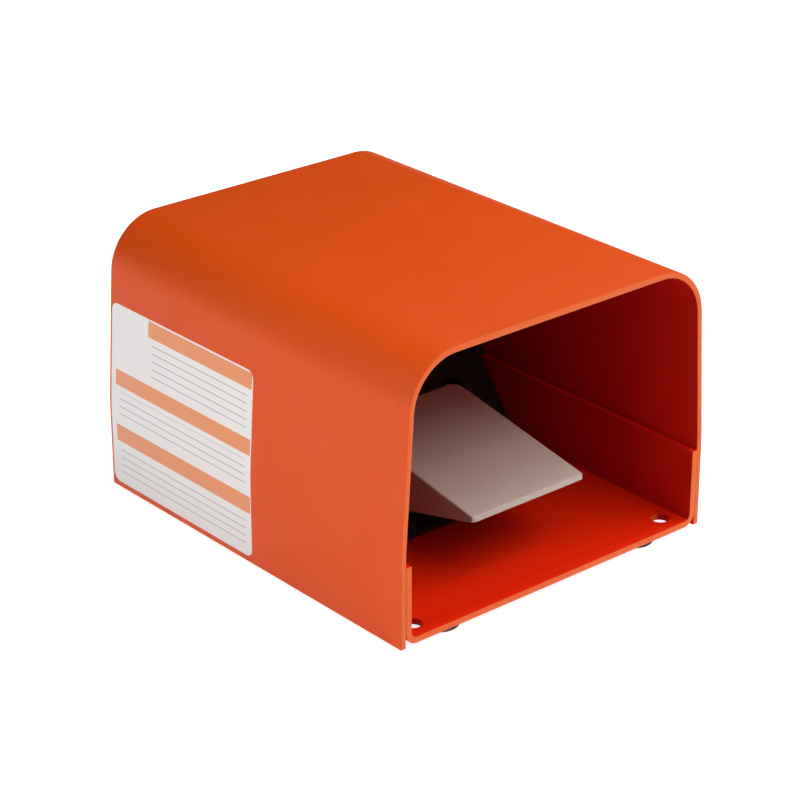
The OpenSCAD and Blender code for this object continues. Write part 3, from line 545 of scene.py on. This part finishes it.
def spring_height(turn):
    """The end turns lie closed, the others share the rest."""
    if turn < 1:
        return 2 * WIRE * turn + WIRE
    if turn > TURNS - 1:
        return spring_len - 2 * WIRE * (TURNS - turn) - WIRE
    return 3 * WIRE + (spring_len - 6 * WIRE) * (turn - 1) / (TURNS - 2)


spring = coil("return_springs_coiled", spring_metal, SPRING_R - WIRE, WIRE, TURNS, spring_height)
spring_x, spring_y = spring_high.x - SPRING_R, spring_high.y - SPRING_R
springs = place_copies(spring, [(x, spring_y, spring_low.z) for x in (-spring_x, spring_x)])
stand_for(springs, "return_springs")
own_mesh(springs)

hub_low, hub_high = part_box("conduit_hub")
PITCH, THREAD_LONG, THREAD_R, RIDGE = 1.81 * MM, 12.4 * MM, 9.25 * MM, 0.75 * MM
thread = coil("hub_thread", hub_metal, THREAD_R, RIDGE, THREAD_LONG / PITCH, lambda turn: turn * PITCH,
              steps=48, sides=4)
thread.rotation_euler = (radians(90), 0, 0)
thread.location = (0, hub_high.y - 0.3 * MM, (hub_low.z + hub_high.z) / 2)
bare(thread)
bpy.ops.object.transform_apply(location=True, rotation=True, scale=True)
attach(thread, "base")


# ---------------------------------------------------------------- camera, floor and lamps

LENS, SENSOR = 119.18, 36
camera_data = bpy.data.cameras.new("camera")
camera_data.lens = LENS
camera_data.sensor_width = SENSOR
camera = bpy.data.objects.new("camera", camera_data)
bpy.context.scene.collection.objects.link(camera)
camera.location = (-0.60933, -0.71122, 0.47681)
camera.rotation_euler = (radians(65.336), 0, radians(-40.56))
bpy.context.scene.camera = camera

# The floor is pale, keeps the shadow and looks white to the camera and in what mirrors it.
bpy.ops.object.select_all(action="DESELECT")
bpy.ops.mesh.primitive_plane_add(size=6, location=(0, 0, 0))
floor = bpy.context.object
floor.name = "studio_floor"
white = Finish("white_floor", Roughness=0.9, Specular_IOR_Level=0.0)
white.shader.inputs["Base Color"].default_value = (0.88, 0.88, 0.88, 1)
direct = white.add("ShaderNodeLightPath", {}, {}, "Is Camera Ray")
seen = direct.at_least(white.add("ShaderNodeLightPath", {}, {}, "Is Glossy Ray"))
glow = white.add("ShaderNodeEmission", {}, {"Strength": 0.85})
lit = white.add("ShaderNodeAddShader", {}, {0: glow, 1: Value(white, white.shader.outputs[0])})
blend = white.add("ShaderNodeMixShader", {}, {"Fac": seen, 1: Value(white, white.shader.outputs[0]), 2: lit})
white.tree.links.new(blend.socket, white.tree.nodes["Material Output"].inputs["Surface"])
floor.data.materials.append(white.material)

# The room is dark for the lamps' sake and white behind the object.
world = bpy.data.worlds.new("studio")
bpy.context.scene.world = world
world.use_nodes = True
sky = world.node_tree
background = sky.nodes["Background"]
background.inputs["Color"].default_value = (1, 1, 1, 1)
paths = sky.nodes.new("ShaderNodeLightPath")
level = sky.nodes.new("ShaderNodeMapRange")
either = sky.nodes.new("ShaderNodeMath")
either.operation = "MAXIMUM"
sky.links.new(paths.outputs["Is Camera Ray"], either.inputs[0])
sky.links.new(paths.outputs["Is Transmission Ray"], either.inputs[1])
sky.links.new(either.outputs[0], level.inputs["Value"])
level.inputs["To Min"].default_value = 0.02
level.inputs["To Max"].default_value = 1.0
sky.links.new(level.outputs[0], background.inputs["Strength"])


def softbox(name, from_front, elevation, size, power, distance=1.5):
    """A square lamp that faces the object, from_front degrees round from the front to the left."""
    lamp = bpy.data.lights.new(name, "AREA")
    lamp.shape, lamp.size, lamp.energy = "SQUARE", size, power
    holder = bpy.data.objects.new(name, lamp)
    bpy.context.scene.collection.objects.link(holder)
    turn, rise = radians(from_front), radians(elevation)
    towards = Vector((-sin(turn) * cos(rise), -cos(turn) * cos(rise), sin(rise)))
    holder.location = Vector((0, 0, 0.05)) + towards * distance
    holder.rotation_euler = (-towards).to_track_quat("-Z", "Y").to_euler()


softbox("main_softbox", -75, 60, 0.8, 13.6)
softbox("front_right_softbox", -30, 43, 0.8, 5.5)
softbox("front_softbox", -4, 55, 0.8, 4.4)
softbox("left_front_softbox", 20, 30, 0.6, 0.9)
softbox("left_low_softbox", 82, 2, 0.3, 1.6, 0.6)
softbox("left_rear_softbox", 120, 30, 0.8, 2.2)

bpy.context.scene.view_settings.view_transform = "Standard"
